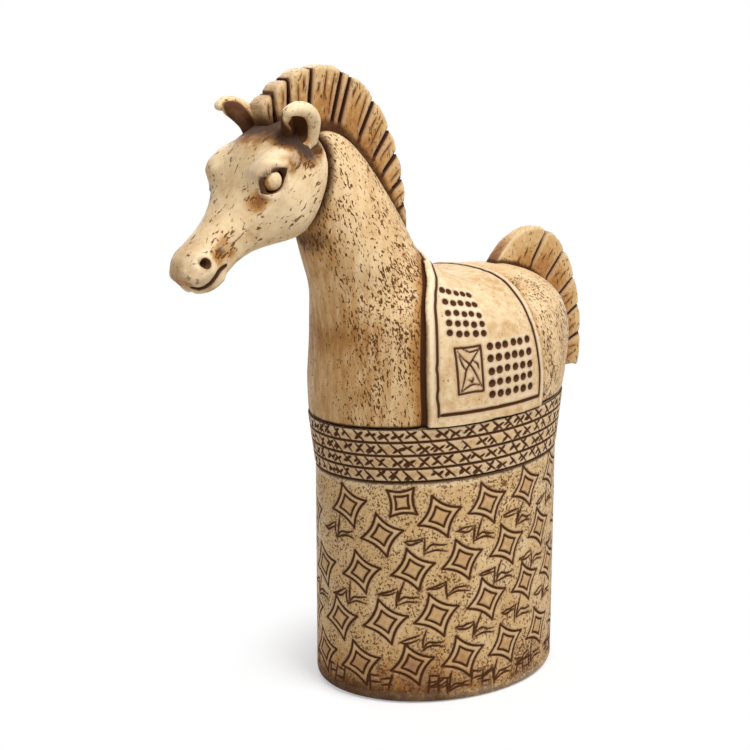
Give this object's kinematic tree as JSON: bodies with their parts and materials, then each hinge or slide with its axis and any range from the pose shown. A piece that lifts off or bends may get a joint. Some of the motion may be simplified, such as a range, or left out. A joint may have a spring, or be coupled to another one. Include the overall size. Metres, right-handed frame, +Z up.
{
  "type": "horse statue",
  "caption": "Antiqued ivory resin horse ornament on an oval patterned drum, with a roached mane crest, a fan tail and a saddle cloth; stands free on a flat foot.",
  "frame": {"origin": "centre of the drum's oval foot, on the surface that the statue stands on", "axes": "+Z up, -X the way the horse faces, -Y its left flank"},
  "size_m": [0.249, 0.1096, 0.3005],
  "materials": {
    "ivory_resin": "antiqued satin",
    "carved_resin": "antiqued satin",
    "comb_resin": "antiqued satin",
    "base_resin": "matte",
    "dowel_brass": "drawn"
  },
  "bodies": {
    "root": {"pedestal_shell": "carved_resin", "base_plate": "base_resin", "girdle_band": "carved_resin", "torso_and_neck": "ivory_resin", "saddle_cloth": "ivory_resin", "tail_fin": "comb_resin", "head": "ivory_resin", "head_dowel": "dowel_brass", "left_ear": "ivory_resin", "right_ear": "ivory_resin", "left_eye": "ivory_resin", "right_eye": "ivory_resin", "mane_crest": "comb_resin"}
  },
  "joints": []
}
